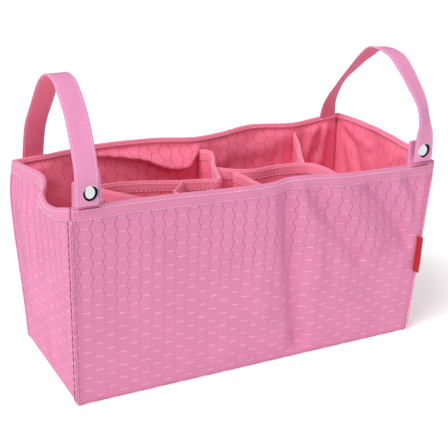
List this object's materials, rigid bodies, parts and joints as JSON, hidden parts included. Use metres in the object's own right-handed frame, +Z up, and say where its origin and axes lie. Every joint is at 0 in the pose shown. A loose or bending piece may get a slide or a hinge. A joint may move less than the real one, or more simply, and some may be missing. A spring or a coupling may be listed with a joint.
{
  "type": "nappy bag organiser",
  "caption": "Open-top soft fabric caddy for baby things, with divided compartments, a front pocket strip and a snap-closed strap handle at each end.",
  "frame": {"origin": "centre of the base's underside", "axes": "+X along the length to the right, +Y to the back, +Z up"},
  "size_m": [0.324, 0.153, 0.2505],
  "materials": {
    "outer_fabric": "woven jacquard with a honeycomb pattern, satin",
    "lining_fabric": "plain weave, matt",
    "hem_tape": "woven tape, stitched along both edges",
    "strap_fabric": "folded jacquard with edge stitching",
    "interlining_felt": "needled felt, hidden",
    "base_board": "stiff sheet, hidden",
    "snap_metal": "polished",
    "label_ribbon": "satin ribbon, blank"
  },
  "bodies": {
    "bag": {"front_panel": "outer_fabric", "back_panel": "outer_fabric", "left_end_panel": "outer_fabric", "right_end_panel": "outer_fabric", "base_panel": "outer_fabric", "front_interlining": "interlining_felt", "back_interlining": "interlining_felt", "left_end_interlining": "interlining_felt", "right_end_interlining": "interlining_felt", "base_board": "base_board", "front_lining": "lining_fabric", "back_lining": "lining_fabric", "left_end_lining": "lining_fabric", "right_end_lining": "lining_fabric", "base_lining": "lining_fabric", "front_hem": "hem_tape", "back_hem": "hem_tape", "left_end_hem": "hem_tape", "right_end_hem": "hem_tape", "front_left_seam": "hem_tape", "front_right_seam": "hem_tape", "back_left_seam": "hem_tape", "back_right_seam": "hem_tape", "pocket_strip": "lining_fabric", "pocket_divider_left": "lining_fabric", "pocket_divider_right": "lining_fabric", "rear_divider_left": "lining_fabric", "rear_divider_right": "lining_fabric", "pocket_strip_hem": "hem_tape", "pocket_divider_left_hem": "hem_tape", "pocket_divider_right_hem": "hem_tape", "rear_divider_left_hem": "hem_tape", "rear_divider_right_hem": "hem_tape", "left_strap_root": "strap_fabric", "left_tab": "strap_fabric", "left_snap_stud": "snap_metal", "left_snap_ring": "snap_metal", "right_strap_root": "strap_fabric", "right_tab": "strap_fabric", "right_snap_stud": "snap_metal", "right_snap_ring": "snap_metal"},
    "left_handle": {"left_strap": "strap_fabric"},
    "left_handle_end": {"left_strap_end": "strap_fabric", "left_snap_cap": "snap_metal", "left_snap_socket": "snap_metal"},
    "right_handle": {"right_strap": "strap_fabric"},
    "right_handle_end": {"right_strap_end": "strap_fabric", "right_snap_cap": "snap_metal", "right_snap_socket": "snap_metal"},
    "label": {"side_label": "label_ribbon"}
  },
  "joints": [
    {"name": "left_handle_swing", "type": "hinge", "parent": "bag", "child": "left_handle", "pos_m": [-0.1465, 0, 0.178], "axis": [0, 1, 0], "range_deg": [-88, 88]},
    {"name": "left_snap_open", "type": "hinge", "parent": "left_handle", "child": "left_handle_end", "pos_m": [-0.1465, -0.0762, 0.196], "axis": [-1, 0, 0], "range_deg": [0, 110]},
    {"name": "right_handle_swing", "type": "hinge", "parent": "bag", "child": "right_handle", "pos_m": [0.1465, 0, 0.1745], "axis": [0, 1, 0], "range_deg": [-88, 88]},
    {"name": "right_snap_open", "type": "hinge", "parent": "right_handle", "child": "right_handle_end", "pos_m": [0.1465, -0.0762, 0.196], "axis": [-1, 0, 0], "range_deg": [0, 110]},
    {"name": "side_label_flap", "type": "hinge", "parent": "bag", "child": "label", "pos_m": [0.15496, -0.06741, 0.06], "axis": [0, -0.0518, 0.9987], "range_deg": [-95, 45]}
  ]
}
